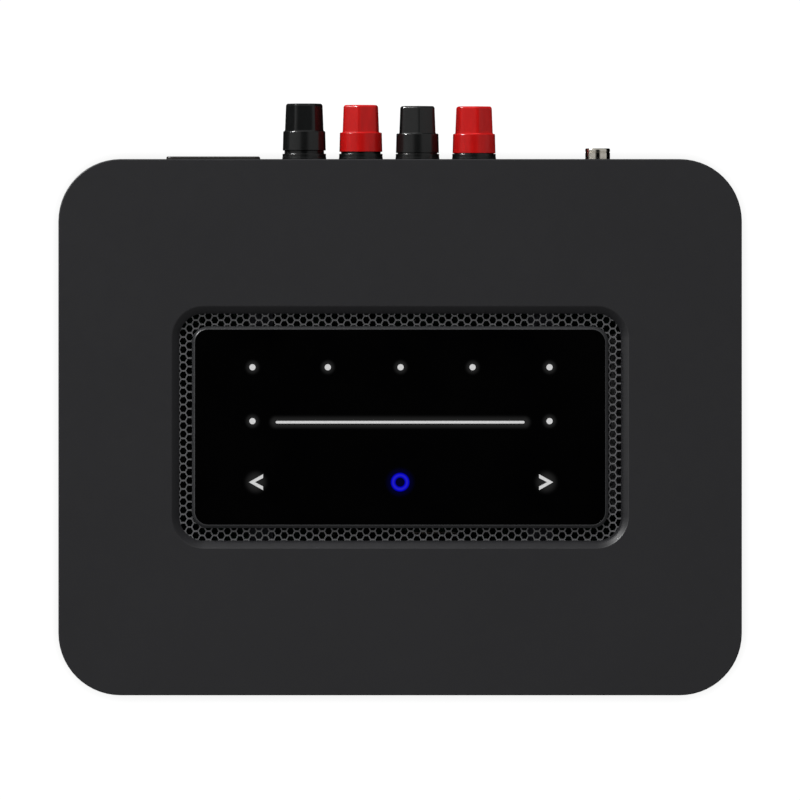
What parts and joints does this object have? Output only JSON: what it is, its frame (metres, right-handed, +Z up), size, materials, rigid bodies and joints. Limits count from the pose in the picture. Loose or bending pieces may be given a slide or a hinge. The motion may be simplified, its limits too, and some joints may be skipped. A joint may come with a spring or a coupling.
{
  "type": "bluetooth audio receiver",
  "caption": "Low rounded charcoal box with a glass touch panel in a vented recess, and speaker posts and sockets at the rear; receives wireless audio and drives speakers.",
  "frame": {"origin": "centre of the footprint, posts included, on the surface that the feet stand on", "axes": "+X to the right as seen from the front, +Y to the rear panel, +Z up"},
  "size_m": [0.22, 0.1908, 0.07],
  "materials": {
    "casing": "fine matt charcoal, evenly grained",
    "band": "smooth black",
    "panel": "fine textured black powder coat",
    "rubber": "matt black",
    "steel": "zinc plated",
    "grille": "satin dark grey",
    "bezel": "satin dark grey",
    "glass": "black printed glass, polished",
    "diffuser": "milky white diffuser",
    "play_light": "blue diffuser",
    "circuit": "green solder mask",
    "cable": "white flat cable",
    "aluminium": "as extruded",
    "ferrite": "dark sintered core with tape",
    "sleeve": "printed shrink sleeve",
    "shield": "tinned steel shell",
    "socket": "moulded black",
    "nickel": "nickel plated",
    "gold": "gold plated brass",
    "knob_black": "glossy black",
    "knob_red": "glossy red"
  },
  "bodies": {
    "receiver": {"top_shell": "casing", "bottom_shell": "casing", "seam_band": "band", "rear_panel": "panel", "vent_grille": "grille", "panel_bezel": "bezel", "touch_glass": "glass", "icon_light_guide": "diffuser", "play_ring_guide": "play_light", "touch_board": "circuit", "touch_ribbon": "cable", "main_board": "circuit", "power_board": "circuit", "audio_board": "circuit", "terminal_board": "circuit", "heatsink": "aluminium", "transformer": "ferrite", "bulk_capacitor_front": "sleeve", "bulk_capacitor_rear": "sleeve", "output_inductor_left": "ferrite", "output_inductor_right": "ferrite", "radio_module": "shield", "antenna_left": "circuit", "antenna_right": "circuit", "mains_inlet": "socket", "mains_pin_live": "nickel", "mains_pin_neutral": "nickel", "mains_pin_earth": "nickel", "phono_shell": "nickel", "phono_insulator": "socket", "lan_jack": "shield", "hdmi_jack": "shield", "usb_jack": "shield", "audio_in_jack": "socket", "ir_in_jack": "socket", "headphone_jack": "socket", "foot_front_left": "rubber", "case_screw_front_left": "steel", "foot_front_right": "rubber", "case_screw_front_right": "steel", "foot_rear_left": "rubber", "case_screw_rear_left": "steel", "foot_rear_right": "rubber", "case_screw_rear_right": "steel", "post_1_collar": "knob_black", "post_1_stud": "gold", "post_2_collar": "knob_black", "post_2_stud": "gold", "post_3_collar": "knob_black", "post_3_stud": "gold", "post_4_collar": "knob_black", "post_4_stud": "gold"},
    "washer_1": {"post_1_washer": "gold"},
    "knob_1": {"post_1_knob": "knob_black"},
    "washer_2": {"post_2_washer": "gold"},
    "knob_2": {"post_2_knob": "knob_red"},
    "washer_3": {"post_3_washer": "gold"},
    "knob_3": {"post_3_knob": "knob_black"},
    "washer_4": {"post_4_washer": "gold"},
    "knob_4": {"post_4_knob": "knob_red"}
  },
  "joints": [
    {"name": "post_1_travel", "type": "slide", "parent": "receiver", "child": "washer_1", "axis": [0, 1, 0], "range_m": [-0.0009, 0.0051]},
    {"name": "post_1_turn", "type": "hinge", "parent": "washer_1", "child": "knob_1", "pos_m": [-0.031, 0.08085, 0.036], "axis": [0, 1, 0], "range_deg": [-342, 1872]},
    {"name": "post_2_travel", "type": "slide", "parent": "receiver", "child": "washer_2", "axis": [0, 1, 0], "range_m": [-0.00045, 0.00555]},
    {"name": "post_2_turn", "type": "hinge", "parent": "washer_2", "child": "knob_2", "pos_m": [-0.0127, 0.08085, 0.036], "axis": [0, 1, 0], "range_deg": [-180, 2034]},
    {"name": "post_3_travel", "type": "slide", "parent": "receiver", "child": "washer_3", "axis": [0, 1, 0], "range_m": [-0.0001, 0.0059]},
    {"name": "post_3_turn", "type": "hinge", "parent": "washer_3", "child": "knob_3", "pos_m": [0.0056, 0.08085, 0.036], "axis": [0, 1, 0], "range_deg": [-54, 2160]},
    {"name": "post_4_travel", "type": "slide", "parent": "receiver", "child": "washer_4", "axis": [0, 1, 0], "range_m": [0, 0.006]},
    {"name": "post_4_turn", "type": "hinge", "parent": "washer_4", "child": "knob_4", "pos_m": [0.0239, 0.08085, 0.036], "axis": [0, 1, 0], "range_deg": [0, 2196]}
  ],
  "couplings": [
    {"joint": "post_1_turn", "follows": "post_1_travel", "rad_per_m": 6283.2},
    {"joint": "post_2_turn", "follows": "post_2_travel", "rad_per_m": 6283.2},
    {"joint": "post_3_turn", "follows": "post_3_travel", "rad_per_m": 6283.2},
    {"joint": "post_4_turn", "follows": "post_4_travel", "rad_per_m": 6283.2}
  ]
}
